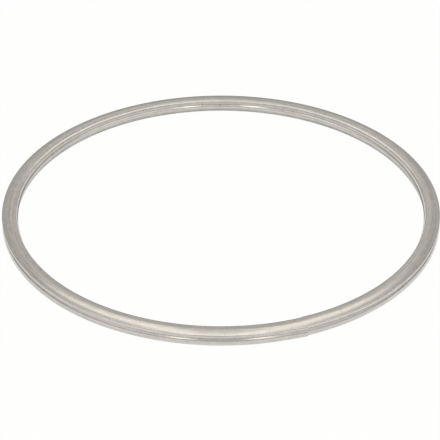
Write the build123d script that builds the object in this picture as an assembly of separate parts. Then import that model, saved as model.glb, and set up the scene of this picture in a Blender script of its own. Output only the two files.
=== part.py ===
from build123d import *
import os
from math import acos, cos, degrees, radians, tan

# Spiral wound gasket, basic type: a stainless strip rolled to a chevron section is wound
# edge on with a softer filler tape between its plies, and the first and last plies are
# metal only, spot welded to each other. No inner or outer guide ring is fitted.
# The gasket lies flat: +Z is its axis and z = 0 is the plane that it rests on.
os.makedirs("parts", exist_ok=True)

# Winding, millimetres
outer_radius = 80.0         # outer wall, at the lips
strip_thickness = 0.2       # one ply of stainless strip
filler_thickness = 1.25     # filler tape as wound
filler_turns = 2            # turns of filler between the two metal bands
inner_plies = 6             # metal-only plies at the bore
outer_plies = 6             # metal-only plies at the outside
filler_tip = 0.2            # the tape is cut off where its wedge is this thin

# Section
edge_height = 4.3           # over the corners at bore and outside
crown_rise = 0.25           # each face stands this much higher at its middle
land_width = 1.5            # flat middle of each face
vee_depth = 0.8             # chevron, pointing to the bore
vee_half_height = 0.8       # the exposed walls are straight lips beyond this

# Free end of the strip
end_angle = 291.0           # where the outermost ply ends, anticlockwise from +X
tail_length = 8.0           # it springs away along a straight tangent this long
tail_depth = 0.7            # how deep the sprung end is rooted in the ply under it
tail_sink = 0.02            # its root lies this far inside the outer wall
tail_step = 0.05            # its edges lie this far below the pressed faces

# The winding is a spiral of half turns. The halves on the two sides have centres half a
# pitch apart, so each wall runs on smoothly at one joint and is one pitch out at the other.
pitch = strip_thickness + filler_thickness
inner_band = inner_plies * strip_thickness
outer_band = outer_plies * strip_thickness
wound_width = filler_turns * filler_thickness + (filler_turns - 1) * strip_thickness
bore_radius = outer_radius - inner_band - wound_width - outer_band
middle_radius = (bore_radius + outer_radius) / 2
far_middle = middle_radius + strip_thickness / 2
half_width = (outer_radius - bore_radius) / 2
half_height = edge_height / 2 + crown_rise

near_centre = -strip_thickness / 4                  # half turns at +Y
metal_centre = near_centre + strip_thickness / 2    # half turns at -Y, metal-only plies
far_centre = near_centre + pitch / 2                # half turns at -Y, filler and the ply over it
NEAR_START, FAR_START = 0, 180                      # where each side's half turn begins

envelope_margin = 2.0       # the face envelope reaches this far past both walls


def half_turn(outline, centre, start):
    """Turn an (r, z) outline through half a turn about an upright axis at x = centre."""
    profile = make_face(Plane.XZ * Polyline(*outline, close=True))
    turned = revolve(profile, axis=Axis.Z, revolution_arc=180)
    return Pos(centre, 0, 0) * Rot(0, 0, start) * turned


def face_height(radius, middle):
    """Height of the crowned face above mid-height: a flat land that falls away on both sides."""
    beyond_land = max(0, abs(radius - middle) - land_width / 2)
    return half_height - crown_rise * (beyond_land / (half_width - land_width / 2)) ** 2


def ply_core(radius, middle, centre, start):
    """Everything inside a nested ply wall: a chevron from one pressed face to the other."""
    edge = face_height(radius, middle)
    wall = [(radius, -edge), (radius - vee_depth, 0), (radius, edge)]
    if edge < half_height:
        wall = [(radius, -half_height)] + wall + [(radius, half_height)]
    return half_turn([(0, -half_height)] + wall + [(0, half_height)], centre, start)


def lip_wall(radius):
    """An exposed wall from bottom to top: a lip, the chevron and a lip."""
    return [
        (radius, -half_height),
        (radius, -vee_half_height),
        (radius - vee_depth, 0),
        (radius, vee_half_height),
        (radius, half_height),
    ]


def lip_core(radius, centre, start):
    """Everything inside an exposed wall."""
    return half_turn([(0, -half_height)] + lip_wall(radius) + [(0, half_height)], centre, start)


def crowned_half(walls, middle, centre, start):
    """The space between the two pressed faces, which are straight from one ply wall to the next."""
    stations = [walls[0] - envelope_margin] + walls + [walls[-1] + envelope_margin]
    top = [(r, face_height(r, middle)) for r in stations]
    bottom = [(r, -z) for r, z in reversed(top)]
    return half_turn(top + bottom, centre, start)


def near_core(radius):
    return ply_core(radius, middle_radius, near_centre, NEAR_START)


def far_core(radius):
    return ply_core(radius, far_middle, far_centre, FAR_START)


def metal_core(radius):
    return ply_core(radius, far_middle, metal_centre, FAR_START)


def wedge_angle():
    """How far from its root the filler's wedge, half a turn long, is as thick as the tip."""
    return degrees(acos(1 - 2 * filler_tip / filler_thickness))


def beyond(angle, keep):
    """The half space on one side of an upright plane through the axis."""
    reach = 4 * outer_radius
    block = Box(reach, reach, reach, align=(Align.CENTER, keep, Align.CENTER))
    return Rot(0, 0, angle) * block


def filler_halves():
    """Half turns of filler: those at +Y, and those at -Y with the wedges at both ends."""
    first = bore_radius + inner_band
    near, far = [], []
    for turn in range(filler_turns):
        inside = first + turn * pitch
        outside = inside + filler_thickness
        near.append(near_core(outside) - near_core(inside))
        if turn < filler_turns - 1:
            far.append(far_core(outside + pitch / 2) - far_core(inside + pitch / 2))

    # The tape starts under the last of the inner plies, which lifts off the one below it.
    root = first - strip_thickness
    start_wedge = far_core(root + pitch / 2) - metal_core(root + strip_thickness / 2)
    far.append(start_wedge & beyond(180 + wedge_angle(), Align.MIN))

    # It ends where the first of the outer plies comes down on the ply inside it.
    last = first + (filler_turns - 1) * pitch
    outer_side = last + filler_thickness + strip_thickness / 2
    end_wedge = metal_core(outer_side) - far_core(last + pitch / 2)
    far.append(end_wedge & beyond(-wedge_angle(), Align.MAX))
    return near, far


def face_envelopes():
    """The pressed faces over each half of the winding, from the radii of its ply walls."""
    first = bore_radius + inner_band
    near_walls = [bore_radius]
    for turn in range(filler_turns):
        near_walls += [first + turn * pitch, first + turn * pitch + filler_thickness]
    near_walls += [outer_radius]
    far_walls = [bore_radius + strip_thickness / 2]
    for turn in range(filler_turns):
        ply = first + turn * pitch + pitch / 2
        far_walls += [ply - strip_thickness, ply]
    far_walls += [outer_radius + strip_thickness / 2]
    near = crowned_half(near_walls, middle_radius, near_centre, NEAR_START)
    far = crowned_half(far_walls, far_middle, far_centre, FAR_START)
    return near, far


def sprung_tail():
    """The outermost ply's free end, straight from where it leaves the winding."""
    radius = outer_radius + strip_thickness / 2 - tail_sink
    turn = tail_length / radius
    top = face_height(outer_radius, middle_radius) - tail_step
    outer = [(r, max(-top, min(top, z))) for r, z in lip_wall(radius)]
    inner = [(r - tail_depth, z) for r, z in reversed(outer)]
    profile = make_face(Plane.XZ * Polyline(*(outer + inner), close=True))
    straight = extrude(profile, amount=-radius * tan(turn))
    return Pos(metal_centre, 0, 0) * Rot(0, 0, -degrees(turn)) * straight


def build():
    near_filler, far_filler = filler_halves()
    near_faces, far_faces = face_envelopes()
    outside = outer_radius + strip_thickness / 2
    inside = bore_radius + strip_thickness / 2

    near_steel = lip_core(outer_radius, near_centre, NEAR_START)
    near_steel -= lip_core(bore_radius, near_centre, NEAR_START)
    far_steel = lip_core(outside, metal_centre, FAR_START)
    far_steel -= lip_core(inside, metal_centre, FAR_START)
    for piece in near_filler:
        near_steel -= piece
    for piece in far_filler:
        far_steel -= piece
    near_steel &= near_faces
    far_steel &= far_faces
    steel = near_steel + far_steel + sprung_tail()

    near_filler = [piece & near_faces for piece in near_filler]
    far_filler = [piece & far_faces for piece in far_filler]
    filler = near_filler[0].fuse(*near_filler[1:], *far_filler)

    place = Pos(0, 0, half_height) * Rot(0, 0, end_angle)
    return place * steel, place * filler


steel_strip, filler_tape = build()
export_step(steel_strip, "parts/steel_strip_winding.step")
export_step(filler_tape, "parts/filler_tape_winding.step")
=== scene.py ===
from math import acos, ceil, cos, pi, radians, sin, sqrt, tan

import bpy
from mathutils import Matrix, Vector


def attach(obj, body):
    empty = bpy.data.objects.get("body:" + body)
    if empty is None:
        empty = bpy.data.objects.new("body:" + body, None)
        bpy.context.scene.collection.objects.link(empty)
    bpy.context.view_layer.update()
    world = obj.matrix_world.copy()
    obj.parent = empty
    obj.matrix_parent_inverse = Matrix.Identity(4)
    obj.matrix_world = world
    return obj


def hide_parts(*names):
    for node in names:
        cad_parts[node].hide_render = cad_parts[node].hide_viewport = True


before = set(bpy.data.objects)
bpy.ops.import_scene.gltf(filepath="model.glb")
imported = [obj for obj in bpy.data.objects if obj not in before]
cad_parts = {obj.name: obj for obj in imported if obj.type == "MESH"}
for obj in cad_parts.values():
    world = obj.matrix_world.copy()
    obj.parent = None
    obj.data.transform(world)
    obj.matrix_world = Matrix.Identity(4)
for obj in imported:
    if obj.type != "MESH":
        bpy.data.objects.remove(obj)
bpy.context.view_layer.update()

# A spiral wound gasket that lies flat, with its axis along +Z. The frame's steel and filler
# windings are replaced by finer meshes, made of sections that are swept along the same spiral.
MM = 0.001

# ---------------------------------------------------------------- the winding, millimetres
OUTER_RADIUS = 80.0         # outer wall
STRIP = 0.2                 # one ply of stainless strip
FILLER = 1.25               # filler tape as wound
FILLER_TURNS = 2
PLIES = 6                   # metal-only plies at the bore, and as many at the outside
EDGE_HEIGHT = 4.3           # over the corners at bore and outside
CROWN_RISE = 0.25           # each face stands this much higher at its top
VEE_DEPTH = 0.8             # chevron between nested plies, pointing to the bore
FILLER_TIP = 0.2            # the tape is cut off where its wedge is this thin
END_ANGLE = radians(291)    # where the outermost ply ends, anticlockwise from +X
TAIL_LENGTH = 8.0           # the free end leaves along a straight tangent this long

PITCH = STRIP + FILLER
BAND = PLIES * STRIP
BORE_RADIUS = OUTER_RADIUS - 2 * BAND - FILLER_TURNS * FILLER - (FILLER_TURNS - 1) * STRIP
HALF_WIDTH = (OUTER_RADIUS - BORE_RADIUS) / 2
HALF_HEIGHT = EDGE_HEIGHT / 2 + CROWN_RISE
FIRST = BORE_RADIUS + BAND                                  # where the filler starts
LAST = FIRST + (FILLER_TURNS - 1) * PITCH + FILLER          # where the outer plies start
NEAR_CENTRE = -STRIP / 4                                    # of the first half of each turn

# Angles run along the winding, and start in the direction of the strip's outer end.
TURN = 2 * pi
WEDGE = acos(1 - 2 * FILLER_TIP / FILLER)                   # from a wedge's root to its cut tip
SHY = 1e-6                                                  # stops short of the next turn's wall

# ---------------------------------------------------------------- the exposed walls, millimetres
OUTER_EDGE_ROUND = 0.5
BORE_EDGE_ROUND = 0.35
EDGE_INSET = 2.2            # a rounded edge starts this many of its radii in from the wall
BORE_PROUD = 0.2            # the bore's wall stands this far inside the frame's
CROWN_SHIFT = 0.3           # a face's top lies this far inward of its middle
GROOVE_DEPTH = 0.62
GROOVE_HALF_HEIGHT = 0.62
GROOVE_RAISE = 0.35         # the groove's bottom lies this far above mid-height
LIP_ROUND = 0.9             # where the groove runs out into the lips
VALLEY_ROUND = 0.15         # at the groove's bottom

# ---------------------------------------------------------------- mesh detail
STEPS_PER_TURN = 480
FACE_STEPS = 14             # across each band's upper and lower face
CORNER_STEPS = 5            # round each rounded corner
CORNER_SHARE = 0.48         # a corner's curve takes up to this share of a line beside it
SHARP_FROM = radians(35)    # an edge that turns more than this stays crisp


def wall(angle, radius, pitch):
    """Distance from the axis of a wall that gains one pitch a turn, in half turns."""
    turn, rest = divmod(angle, TURN)
    half = 0 if rest < pi else 1
    centre = NEAR_CENTRE + half * pitch / 2
    arc = radius + (turn + half / 2) * pitch
    return centre * cos(angle) + sqrt(arc ** 2 - (centre * sin(angle)) ** 2)


def bore_wall(angle):
    return wall(angle % TURN, BORE_RADIUS, STRIP) - BORE_PROUD


def outside_wall(angle):
    return wall(angle % TURN, OUTER_RADIUS, STRIP)


def tail_wall(angle):
    """The outside wall, with the strip's last stretch leaving on a straight tangent."""
    lift_off = TURN - TAIL_LENGTH / OUTER_RADIUS
    radius = outside_wall(angle)
    beyond = angle % TURN - lift_off
    if beyond > 0:
        radius = outside_wall(lift_off) / cos(beyond)
    return radius


def inner_plies_wall(angle):
    """Outside of the plies at the bore, without the ply that leaves them for the filler."""
    return wall(angle, FIRST - STRIP, STRIP)


def outer_plies_wall(angle):
    """Inside of the plies at the outside, over the last turn of filler."""
    return wall(angle, LAST - FILLER_TURNS * STRIP, STRIP)


def face_height(angle, radius):
    """Height of the crowned face above mid-height."""
    middle = (bore_wall(angle) + outside_wall(angle)) / 2 - CROWN_SHIFT
    return HALF_HEIGHT - CROWN_RISE * ((radius - middle) / HALF_WIDTH) ** 2


def rounded(points, radii):
    """A polyline with its inner corners eased into curves; points are (across, up)."""
    line = [points[0]]
    for before, corner, after, radius in zip(points, points[1:], points[2:], radii):
        tip = Vector(corner)
        a = Vector(before) - tip
        b = Vector(after) - tip
        reach = min(radius / tan(a.angle(b) / 2), CORNER_SHARE * a.length, CORNER_SHARE * b.length)
        start = tip + a.normalized() * reach
        end = tip + b.normalized() * reach
        for step in range(CORNER_STEPS + 1):
            t = step / CORNER_STEPS
            point = start * (1 - t) ** 2 + tip * 2 * t * (1 - t) + end * t ** 2
            line.append((point.x, point.y))
    line.append(points[-1])
    return line


def nested_profile(corner):
    """(offset, z) from bottom to top of a wall that lies against the next band."""
    return [(0, -corner), (-VEE_DEPTH, 0), (0, corner)]


def exposed_profile(corner, shoulder, inset, edge_round):
    """(offset, z) from bottom to top of a wall with lips; inset leads from it into the face."""
    points = [
        (inset, -shoulder),
        (0, -corner),
        (0, GROOVE_RAISE - GROOVE_HALF_HEIGHT),
        (-GROOVE_DEPTH, GROOVE_RAISE),
        (0, GROOVE_RAISE + GROOVE_HALF_HEIGHT),
        (0, corner),
        (inset, shoulder),
    ]
    radii = [edge_round, LIP_ROUND, VALLEY_ROUND, LIP_ROUND, edge_round]
    return rounded(points, radii)


def wall_profile(angle, radius, sign, edge_round):
    """(r, z) up a band's outer wall (sign 1) or inner wall (-1); a nested one has no edge_round."""
    corner = face_height(angle, radius)
    if edge_round is None:
        line = nested_profile(corner)
    else:
        inset = -sign * EDGE_INSET * edge_round
        shoulder = face_height(angle, radius + inset)
        line = exposed_profile(corner, shoulder, inset, edge_round)
    return [(radius + offset, z) for offset, z in line]


def face_points(angle, start, end, side):
    """(r, z) across a crowned face, between two walls; side is 1 for the upper face."""
    radii = [start + (end - start) * step / FACE_STEPS for step in range(1, FACE_STEPS)]
    return [(r, side * face_height(angle, r)) for r in radii]


def section(angle, inner, outer, inner_round=None, outer_round=None):
    """Closed (r, z) loop of one band between two walls: up the outer one and down the inner one."""
    up = wall_profile(angle, outer, 1, outer_round)
    down = list(reversed(wall_profile(angle, inner, -1, inner_round)))
    across = face_points(angle, up[-1][0], down[0][0], 1)
    back = face_points(angle, down[-1][0], up[0][0], -1)
    return up + across + down + back


def placed(loop, angle):
    """A section's points in space, in metres."""
    place = angle + END_ANGLE
    return [(MM * r * cos(place), MM * r * sin(place), MM * (z + HALF_HEIGHT)) for r, z in loop]


def skin(steps, count):
    """Faces of a closed skin over steps + 1 loops of count points each, with flat ends."""
    faces = []
    for step in range(steps):
        for i in range(count):
            a = step * count + i
            b = step * count + (i + 1) % count
            faces.append((a, b, b + count, a + count))
    faces.append(tuple(reversed(range(count))))
    faces.append(tuple(range(steps * count, (steps + 1) * count)))
    return faces


def swept(name, section_at, start, end, material):
    """A closed solid whose section at each angle is section_at(angle)."""
    steps = ceil((end - start) / TURN * STEPS_PER_TURN)
    vertices = []
    for step in range(steps + 1):
        angle = start + (end - start) * step / steps
        loop = section_at(angle)
        vertices += placed(loop, angle)
    mesh = bpy.data.meshes.new(name)
    mesh.from_pydata(vertices, [], skin(steps, len(loop)))
    mesh.polygons.foreach_set("use_smooth", [True] * len(mesh.polygons))
    mesh.set_sharp_from_angle(angle=SHARP_FROM)
    mesh.update()
    mesh.materials.append(material)
    piece = bpy.data.objects.new(name, mesh)
    bpy.context.scene.collection.objects.link(piece)
    return piece


# ---------------------------------------------------------------- node helpers
MIX_A, MIX_B, MIX_RESULT = 6, 7, 2      # a colour Mix node's two inputs and its output


def node(tree, kind, **values):
    made = tree.nodes.new(kind)
    for key, value in values.items():
        setattr(made, key, value)
    return made


def math_node(tree, operation, *values):
    """One step of arithmetic; each value is a number or another node's output."""
    made = node(tree, "ShaderNodeMath", operation=operation)
    for socket, value in zip(made.inputs, values):
        if isinstance(value, (int, float)):
            socket.default_value = value
        else:
            tree.links.new(value, socket)
    return made.outputs[0]


def product(tree, *values):
    """All the values multiplied together, the first two first."""
    total = values[0]
    for value in values[1:]:
        total = math_node(tree, "MULTIPLY", total, value)
    return total


def remapped(tree, value, low, high, to_low, to_high, smooth=False):
    """The value's range low..high carried to to_low..to_high, and held beyond its ends."""
    made = node(tree, "ShaderNodeMapRange")
    if smooth:
        made.interpolation_type = "SMOOTHSTEP"
    tree.links.new(value, made.inputs["Value"])
    for name, number in zip(("From Min", "From Max", "To Min", "To Max"), (low, high, to_low, to_high)):
        made.inputs[name].default_value = number
    return made.outputs["Result"]


def blended(tree, fraction, low, high):
    """The colour at a fraction of the way from low to high, and past them beyond 0 and 1."""
    mix = node(tree, "ShaderNodeMix", data_type="RGBA", clamp_factor=False)
    tree.links.new(fraction, mix.inputs["Factor"])
    mix.inputs[MIX_A].default_value = (*low, 1)
    mix.inputs[MIX_B].default_value = (*high, 1)
    return mix.outputs[MIX_RESULT]


# ---------------------------------------------------------------- metal and filler
# Marks drawn out along the strip: a fleck's length and width in millimetres, and its detail.
STREAKS = dict(length=30.0, width=0.5, detail=2.0)
HAIRLINES = dict(length=9.0, width=0.07, detail=2.0)
MOTTLING = dict(length=3.2, width=1.5, detail=4.0)
PITS = dict(length=0.9, width=0.55, detail=1.0)

# Shade, from 0 in the dark colour to 1 in the light one.
STREAK_SHARE = 0.6
MOTTLING_SHARE = 0.4
SHADE_NOISE = (0.38, 0.62)      # the noise that gives 0 and the noise that gives 1
SPECK_NOISE = (0.695, 0.735)    # a speck fades in over this much of the pits' noise
SPECK_DROP = 1.6                # taken off the shade in a speck
PLY_LINE = 0.03                 # the line between two plies reaches this far to each side
LINE_SHADE = 0.2                # the shade is scaled down to this in the line
FACE_FROM = 0.8                 # a normal this upright belongs to a face, not to a wall

# Painted shade on the bore's wall: darker at its foot, next to the floor, and at its rim, where it dims
# the lip's highlight; by height in millimetres.
FOOT = (0.6, 2.0)
RIM = (3.5, 3.9)
RIM_SHARE = 0.6
BORE_SHADE_DROP = 1.6                 # taken off the shade at the foot

# Relief and gloss.
STREAK_RELIEF = 1.5             # against 1 for the hairlines
LINE_RELIEF = 2.0
RELIEF_STRENGTH = 0.6
GLOSS_NOISE = (0.3, 0.7)        # the hairlines' noise at the lowest and highest roughness
ANISOTROPY = 0.25
ACROSS = 0.25                   # a quarter turn, so that highlights spread across the strip

STEEL_FINISH = dict(
    light=(0.725, 0.702, 0.668),
    dark=(0.585, 0.566, 0.537),
    roughness=(0.11, 0.17),
    relief_depth=0.0018,
)
FILLER_FINISH = dict(
    light=(0.695, 0.672, 0.638),
    dark=(0.555, 0.537, 0.512),
    roughness=(0.13, 0.2),
    relief_depth=0.0025,
)


def ring_place(tree):
    """Turns past the strip's outer end (0 to 1), radius and height, in millimetres."""
    place = node(tree, "ShaderNodeTexCoord")
    split = node(tree, "ShaderNodeSeparateXYZ")
    tree.links.new(place.outputs["Object"], split.inputs[0])
    x, y, z = split.outputs
    square = math_node(tree, "ADD", product(tree, x, x), product(tree, y, y))
    radius = math_node(tree, "DIVIDE", math_node(tree, "SQRT", square), MM)
    turned = math_node(tree, "DIVIDE", math_node(tree, "ARCTAN2", y, x), TURN)
    turns = math_node(tree, "FRACT", math_node(tree, "SUBTRACT", turned, END_ANGLE / TURN))
    return turns, radius, math_node(tree, "DIVIDE", z, MM)


def drawn_noise(tree, length, width, detail):
    """Noise in flecks drawn out along the strip, length by width in millimetres."""
    turns, radius, height = ring_place(tree)
    angle = product(tree, turns, TURN)
    reach = OUTER_RADIUS / length
    # Radius less height changes across the faces and up the walls alike.
    across = math_node(tree, "DIVIDE", math_node(tree, "SUBTRACT", radius, height), width)
    join = node(tree, "ShaderNodeCombineXYZ")
    tree.links.new(product(tree, math_node(tree, "COSINE", angle), reach), join.inputs[0])
    tree.links.new(product(tree, math_node(tree, "SINE", angle), reach), join.inputs[1])
    tree.links.new(across, join.inputs[2])
    noise = node(tree, "ShaderNodeTexNoise")
    noise.inputs["Scale"].default_value = 1.0
    noise.inputs["Detail"].default_value = detail
    tree.links.new(join.outputs[0], noise.inputs["Vector"])
    return noise.outputs["Fac"]


def ply_borders(tree, first_wall):
    """1 on the fine lines between plies of strip on the faces, 0 away from them and on the walls."""
    turns, radius, _ = ring_place(tree)
    plies = math_node(tree, "DIVIDE", math_node(tree, "SUBTRACT", radius, first_wall), STRIP)
    phase = math_node(tree, "FRACT", math_node(tree, "SUBTRACT", plies, turns))
    off_middle = math_node(tree, "ABSOLUTE", math_node(tree, "SUBTRACT", phase, 0.5))
    line = remapped(tree, off_middle, 0.5 - PLY_LINE / STRIP, 0.5, 0.0, 1.0)
    facing = node(tree, "ShaderNodeNewGeometry")
    split = node(tree, "ShaderNodeSeparateXYZ")
    tree.links.new(facing.outputs["Normal"], split.inputs[0])
    upright = math_node(tree, "ABSOLUTE", split.outputs[2])
    return product(tree, line, math_node(tree, "GREATER_THAN", upright, FACE_FROM))


def specks(tree):
    """1 in a few small dark pits, 0 elsewhere."""
    return remapped(tree, drawn_noise(tree, **PITS), *SPECK_NOISE, 0.0, 1.0)


def painted_bore_shade(tree):
    """Painted shade on the bore's wall: 1 at its foot, less at its rim, 0 between them and elsewhere.
    """
    _, radius, height = ring_place(tree)
    foot = remapped(tree, height, *FOOT, 1.0, 0.0, smooth=True)
    rim = remapped(tree, height, *RIM, 0.0, RIM_SHARE, smooth=True)
    inside = math_node(tree, "LESS_THAN", radius, BORE_RADIUS)
    return product(tree, math_node(tree, "ADD", foot, rim), inside)


def rubbed_and_painted_shade(tree, streaks):
    """Streaks and mottling together, less the specks and the painted shade at the bore's foot and rim.
    """
    mottling = drawn_noise(tree, **MOTTLING)
    streaky = product(tree, streaks, STREAK_SHARE)
    mixed = math_node(tree, "ADD", streaky, product(tree, mottling, MOTTLING_SHARE))
    shade = remapped(tree, mixed, *SHADE_NOISE, 0.0, 1.0)
    shade = math_node(tree, "SUBTRACT", shade, product(tree, specks(tree), SPECK_DROP))
    # Painted shade: the bore's wall is darkened at its foot and at its rim.
    return math_node(tree, "SUBTRACT", shade, product(tree, painted_bore_shade(tree), BORE_SHADE_DROP))


def relief_normal(tree, relief, depth):
    """The surface normal over a relief of this depth, in millimetres."""
    bump = node(tree, "ShaderNodeBump")
    bump.inputs["Strength"].default_value = RELIEF_STRENGTH
    bump.inputs["Distance"].default_value = depth * MM
    tree.links.new(relief, bump.inputs["Height"])
    return bump.outputs["Normal"]


def rolled(name, light, dark, roughness, relief_depth, first_wall=None):
    """A face rubbed round the ring, with painted shade on the bore's wall; first_wall is the inside of
    a band of plies, if it is one.
    """
    made = bpy.data.materials.new(name)
    made.use_nodes = True
    tree = made.node_tree
    streaks = drawn_noise(tree, **STREAKS)
    hairlines = drawn_noise(tree, **HAIRLINES)
    shade = rubbed_and_painted_shade(tree, streaks)
    relief = math_node(tree, "ADD", hairlines, product(tree, streaks, STREAK_RELIEF))
    if first_wall is not None:
        line = ply_borders(tree, first_wall)
        shade = product(tree, shade, remapped(tree, line, 0, 1, 1.0, LINE_SHADE))
        relief = math_node(tree, "SUBTRACT", relief, product(tree, line, LINE_RELIEF))
    gloss = remapped(tree, hairlines, *GLOSS_NOISE, *roughness)
    around = node(tree, "ShaderNodeTangent", direction_type="RADIAL", axis="Z")
    shader = tree.nodes["Principled BSDF"]
    shader.inputs["Metallic"].default_value = 1.0
    shader.inputs["Anisotropic"].default_value = ANISOTROPY
    shader.inputs["Anisotropic Rotation"].default_value = ACROSS
    tree.links.new(blended(tree, shade, dark, light), shader.inputs["Base Color"])
    tree.links.new(gloss, shader.inputs["Roughness"])
    tree.links.new(relief_normal(tree, relief, relief_depth), shader.inputs["Normal"])
    tree.links.new(around.outputs[0], shader.inputs["Tangent"])
    return made


inner_steel = rolled("strip_inner_plies", **STEEL_FINISH, first_wall=BORE_RADIUS)
outer_steel = rolled("strip_outer_plies", **STEEL_FINISH, first_wall=LAST)
ply_steel = rolled("strip_between_filler", **STEEL_FINISH)
pressed_filler = rolled("pressed_filler", **FILLER_FINISH)


# ---------------------------------------------------------------- the pieces
def inner_band_section(angle):
    """Metal-only plies at the bore. The last of them leaves the band where the filler starts."""
    outer = wall(angle, FIRST, PITCH)
    if angle >= pi + WEDGE:
        outer = inner_plies_wall(angle)
    return section(angle, bore_wall(angle), outer, inner_round=BORE_EDGE_ROUND)


def ply_section(angle):
    """The one ply that runs between two turns of filler."""
    return section(angle, wall(angle, FIRST - STRIP, PITCH), wall(angle, FIRST, PITCH))


def outer_band_section(angle):
    """Metal-only plies outside. The first of them comes down over the filler's cut end."""
    inner = outer_plies_wall(angle)
    if angle > LAST_TURN - WEDGE:
        inner = wall(angle, FIRST - PITCH, PITCH)
    return section(angle, inner, tail_wall(angle), outer_round=OUTER_EDGE_ROUND)


def filler_section(angle):
    """Filler between its plies, wedge-shaped where it starts and where it ends."""
    inner = wall(angle, FIRST - PITCH, PITCH)
    outer = wall(angle, FIRST - STRIP, PITCH)
    if angle < TURN:
        inner = inner_plies_wall(angle)
    if angle >= OUTER_START + pi:
        outer = outer_plies_wall(angle)
    return section(angle, inner, outer)


OUTER_START = FILLER_TURNS * TURN
LAST_TURN = OUTER_START + TURN
steel_pieces = [
    swept("inner_metal_plies", inner_band_section, 0, TURN - SHY, inner_steel),
    swept("strip_between_filler", ply_section, pi, OUTER_START - SHY, ply_steel),
    swept("outer_metal_plies", outer_band_section, OUTER_START, LAST_TURN - SHY, outer_steel),
]
filler = swept("filler_winding", filler_section, pi + WEDGE, LAST_TURN - WEDGE, pressed_filler)
for piece in steel_pieces:
    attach(piece, "root")
    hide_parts("steel_strip_winding")
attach(filler, "root")
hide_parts("filler_tape_winding")

# ---------------------------------------------------------------- floor
FLOOR_SIZE = 4.0
FLOOR_PAINT = (0.8, 0.8, 0.79, 1)
FLOOR_ROUGHNESS = 0.9
FLOOR_WHITE = (1, 1, 0.995, 1)
WHITE_TO_CAMERA = 0.98
WHITE_IN_METAL = 0.78


def floor_material():
    """Pale paint that the camera sees as near white, and metal as a little less."""
    made = bpy.data.materials.new("pale_floor")
    made.use_nodes = True
    tree = made.node_tree
    paint = tree.nodes["Principled BSDF"]
    paint.inputs["Base Color"].default_value = FLOOR_PAINT
    paint.inputs["Roughness"].default_value = FLOOR_ROUGHNESS
    glow = node(tree, "ShaderNodeEmission")
    glow.inputs["Color"].default_value = FLOOR_WHITE
    path = node(tree, "ShaderNodeLightPath").outputs
    in_metal = math_node(tree, "MAXIMUM", path["Is Glossy Ray"], path["Is Transmission Ray"])
    to_camera = product(tree, path["Is Camera Ray"], WHITE_TO_CAMERA)
    share = math_node(tree, "MAXIMUM", to_camera, product(tree, in_metal, WHITE_IN_METAL))
    mix = node(tree, "ShaderNodeMixShader")
    tree.links.new(share, mix.inputs["Fac"])
    tree.links.new(paint.outputs[0], mix.inputs[1])
    tree.links.new(glow.outputs[0], mix.inputs[2])
    tree.links.new(mix.outputs[0], tree.nodes["Material Output"].inputs["Surface"])
    return made


def make_floor():
    mesh = bpy.data.meshes.new("floor")
    reach = FLOOR_SIZE / 2
    corners = [(-reach, -reach, 0), (reach, -reach, 0), (reach, reach, 0), (-reach, reach, 0)]
    mesh.from_pydata(corners, [], [(0, 1, 2, 3)])
    mesh.materials.append(floor_material())
    floor = bpy.data.objects.new("floor", mesh)
    bpy.context.scene.collection.objects.link(floor)


make_floor()

# ---------------------------------------------------------------- studio light
# Directions are in degrees: away from straight behind the object, to either side, so that 180 is
# straight in front, and up from the horizon. A level of 1 is white.
ROOM_LEVEL = 0.555
LOW_BEHIND = 0.34               # at the horizon, behind and beside the object
LOW_IN_FRONT = 0.56             # at the horizon, in front of it
TO_FRONT = (100, 150)           # the first low level gives way to the second over these
CLIMB = (4, 24)                 # both give way to the room's level over these
NEUTRAL = (1.0, 0.985, 0.95)    # the room
WARM = (1.0, 0.94, 0.86)        # the panels at full strength

# Two tall panels behind the object, with a gap between them and a slanted lower edge.
TALL_AZIMUTH = 7
TALL_SPREAD = 12
TALL_STRENGTH = 0.88
GAP_SPREAD = 3.0
GAP_DEPTH = 0.78
LOWER_EDGE = (34.0, 37.6)
LOWER_EDGE_SLANT = 0.4

# Soft round panels, in pairs that merge straight behind and straight in front.
PANELS = (
    dict(azimuth=5.5, spread=3, elevation=29, rise=7, strength=0.17),
    dict(azimuth=105, spread=38, elevation=52, rise=18, strength=0.62),
    dict(azimuth=157, spread=6.5, elevation=52, rise=14, strength=1.3),
    dict(azimuth=180, spread=30, elevation=62, rise=16, strength=0.25),
)


def bell(tree, angle, centre, spread):
    """1 at the centre, falling off smoothly to each side; degrees."""
    offset = math_node(tree, "DIVIDE", math_node(tree, "SUBTRACT", angle, centre), spread)
    return math_node(tree, "EXPONENT", product(tree, product(tree, offset, offset), -1.0))


def softbox_pair(tree, away, up, azimuth, spread, elevation, rise, strength):
    """Two soft panels of light, left and right of the plane x = 0."""
    return product(tree, bell(tree, away, azimuth, spread), bell(tree, up, elevation, rise), strength)


def tall_pair_behind(tree, away, up):
    """Two tall panels behind the object, with a slanted lower edge and a gap between them."""
    wide = product(tree, bell(tree, away, TALL_AZIMUTH, TALL_SPREAD), TALL_STRENGTH)
    gap = math_node(tree, "SUBTRACT", 1.0, product(tree, bell(tree, away, 0, GAP_SPREAD), GAP_DEPTH))
    slanted = math_node(tree, "SUBTRACT", up, product(tree, away, LOWER_EDGE_SLANT))
    lower_edge = remapped(tree, slanted, *LOWER_EDGE, 0, 1, smooth=True)
    return product(tree, wide, gap, lower_edge)


def direction(tree):
    """Where a ray of the world comes from: degrees away from straight behind, and degrees up."""
    place = node(tree, "ShaderNodeTexCoord")
    split = node(tree, "ShaderNodeSeparateXYZ")
    tree.links.new(place.outputs["Generated"], split.inputs[0])
    x, y, z = split.outputs
    sideways = math_node(tree, "ABSOLUTE", x)
    away = math_node(tree, "DEGREES", math_node(tree, "ARCTAN2", sideways, y))
    return away, math_node(tree, "DEGREES", math_node(tree, "ARCSINE", z))


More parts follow.
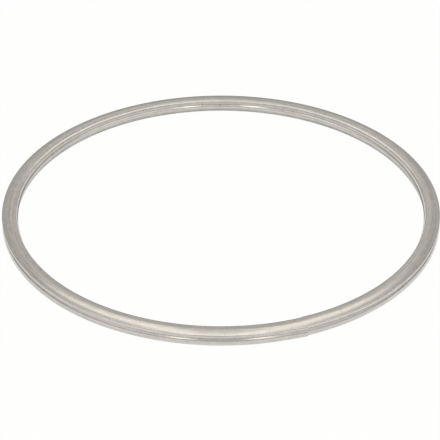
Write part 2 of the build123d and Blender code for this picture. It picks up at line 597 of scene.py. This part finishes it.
def room_light(tree, away, up):
    """An even room that is dimmer towards the horizon, most of all behind the object."""
    low = remapped(tree, away, *TO_FRONT, LOW_BEHIND, LOW_IN_FRONT, smooth=True)
    climb = remapped(tree, up, *CLIMB, 0, 1, smooth=True)
    rise = product(tree, math_node(tree, "SUBTRACT", ROOM_LEVEL, low), climb)
    return math_node(tree, "ADD", low, rise)


def panel_light(tree, away, up):
    panels = tall_pair_behind(tree, away, up)
    for panel in PANELS:
        panels = math_node(tree, "ADD", panels, softbox_pair(tree, away, up, **panel))
    return panels


def studio_world():
    """The room and its panels light the object, and the camera sees plain white."""
    world = bpy.data.worlds.new("studio")
    bpy.context.scene.world = world
    world.use_nodes = True
    tree = world.node_tree
    away, up = direction(tree)
    panels = panel_light(tree, away, up)
    level = math_node(tree, "ADD", room_light(tree, away, up), panels)
    to_camera = node(tree, "ShaderNodeLightPath").outputs["Is Camera Ray"]
    tint = blended(tree, math_node(tree, "MINIMUM", panels, 1.0), NEUTRAL, WARM)
    seen = node(tree, "ShaderNodeMix", data_type="RGBA")
    tree.links.new(to_camera, seen.inputs["Factor"])
    tree.links.new(tint, seen.inputs[MIX_A])
    seen.inputs[MIX_B].default_value = (1, 1, 1, 1)
    background = tree.nodes["Background"]
    tree.links.new(seen.outputs[MIX_RESULT], background.inputs["Color"])
    tree.links.new(math_node(tree, "MAXIMUM", level, to_camera), background.inputs["Strength"])


def overhead_softbox(height, size, power):
    lamp = bpy.data.lights.new("overhead_softbox", "AREA")
    lamp.shape = "DISK"
    lamp.size = size
    lamp.energy = power
    holder = bpy.data.objects.new("overhead_softbox", lamp)
    bpy.context.scene.collection.objects.link(holder)
    holder.location = (0, 0, height)


studio_world()
overhead_softbox(height=1.6, size=1.2, power=1.7)

# ---------------------------------------------------------------- camera
ELEVATION = radians(33.2)
DISTANCE = 7.9 * OUTER_RADIUS * MM
SENSOR = 36.0
LENS = 140.64546
SHIFT_X = -0.0025
SHIFT_Y = -0.0284


def make_camera():
    camera = bpy.data.objects.new("camera", bpy.data.cameras.new("camera"))
    bpy.context.scene.collection.objects.link(camera)
    target = Vector((0, 0, MM * HALF_HEIGHT))
    camera.location = target + DISTANCE * Vector((0, -cos(ELEVATION), sin(ELEVATION)))
    camera.rotation_euler = (target - camera.location).to_track_quat("-Z", "Y").to_euler()
    camera.data.sensor_width = SENSOR
    camera.data.lens = LENS
    camera.data.shift_x = SHIFT_X
    camera.data.shift_y = SHIFT_Y
    bpy.context.scene.camera = camera


make_camera()
bpy.context.scene.view_settings.view_transform = "Standard"
